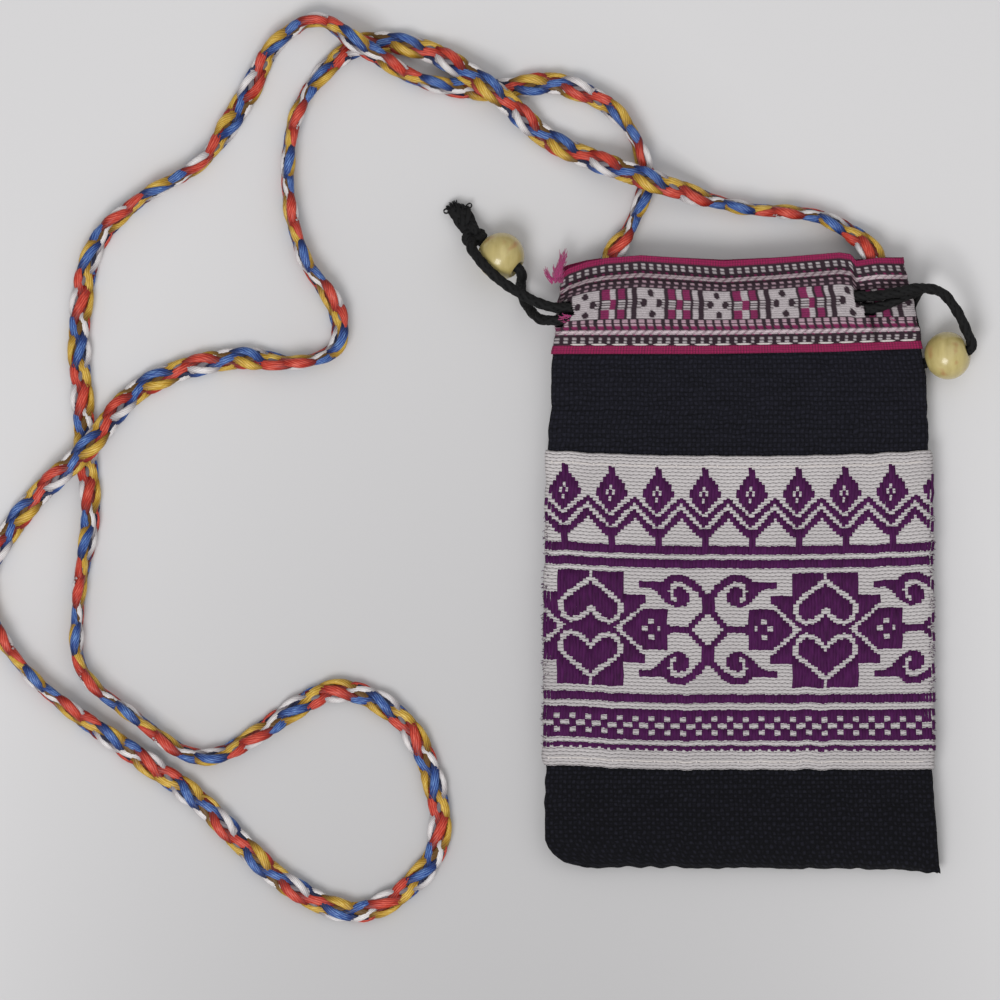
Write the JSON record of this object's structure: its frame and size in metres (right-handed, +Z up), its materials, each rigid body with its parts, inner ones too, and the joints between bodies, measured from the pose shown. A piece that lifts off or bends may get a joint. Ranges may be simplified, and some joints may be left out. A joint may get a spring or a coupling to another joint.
{
  "type": "drawstring neck pouch",
  "caption": "Flat cloth pouch with a patterned woven panel, a trimmed drawstring mouth, beaded drawstrings and a long braided neck cord, lying on its back.",
  "frame": {"origin": "on the surface that the pouch lies on, below the middle of its plan, cords left out", "axes": "+X to the pouch's right as it is seen from its front, +Y from its foot to its mouth, +Z up out of its patterned front"},
  "size_m": [0.2496, 0.2278, 0.015],
  "materials": {
    "navy_cloth": "matt",
    "woven_cotton": "matt",
    "trim_weave": "matt",
    "magenta_yarn": "matt",
    "braid_yarn": "satin",
    "black_cord": "matt",
    "pale_wood": "gloss",
    "pale_thread": "matt"
  },
  "bodies": {
    "pouch": {"pouch_cloth": "navy_cloth", "woven_panel": "woven_cotton", "trim_ribbon": "trim_weave", "trim_fray": "magenta_yarn", "neck_cord": "braid_yarn", "left_drawstring_back_run": "black_cord", "right_drawstring_back_run": "black_cord", "neck_cord_binding_left": "pale_thread", "neck_cord_binding_right": "pale_thread", "trim_stitching": "pale_thread", "panel_head_stitching": "pale_thread", "panel_foot_stitching": "pale_thread", "side_seam": "pale_thread", "foot_seam": "pale_thread"},
    "left_drawstring": {"left_drawstring_upper": "black_cord", "left_drawstring_lower": "black_cord", "left_knot": "black_cord"},
    "left_bead": {"left_bead": "pale_wood"},
    "right_drawstring": {"right_drawstring_upper": "black_cord", "right_drawstring_lower": "black_cord", "right_knot": "black_cord"},
    "right_bead": {"right_bead": "pale_wood"}
  },
  "joints": [
    {"name": "left_drawstring_pull", "type": "slide", "parent": "pouch", "child": "left_drawstring", "axis": [-1, 0, 0], "range_m": [0, 0.025]},
    {"name": "left_bead_turn", "type": "hinge", "parent": "left_drawstring", "child": "left_bead", "pos_m": [-0.06037, 0.076, 0.006], "axis": [-0.7705, 0.5904, -0.2402], "continuous": true},
    {"name": "right_drawstring_pull", "type": "slide", "parent": "pouch", "child": "right_drawstring", "axis": [1, 0, 0], "range_m": [0, 0.025]},
    {"name": "right_bead_turn", "type": "hinge", "parent": "right_drawstring", "child": "right_bead", "pos_m": [0.05094, 0.05125, 0.0062], "axis": [-0.9305, -0.3002, -0.2101], "continuous": true}
  ]
}
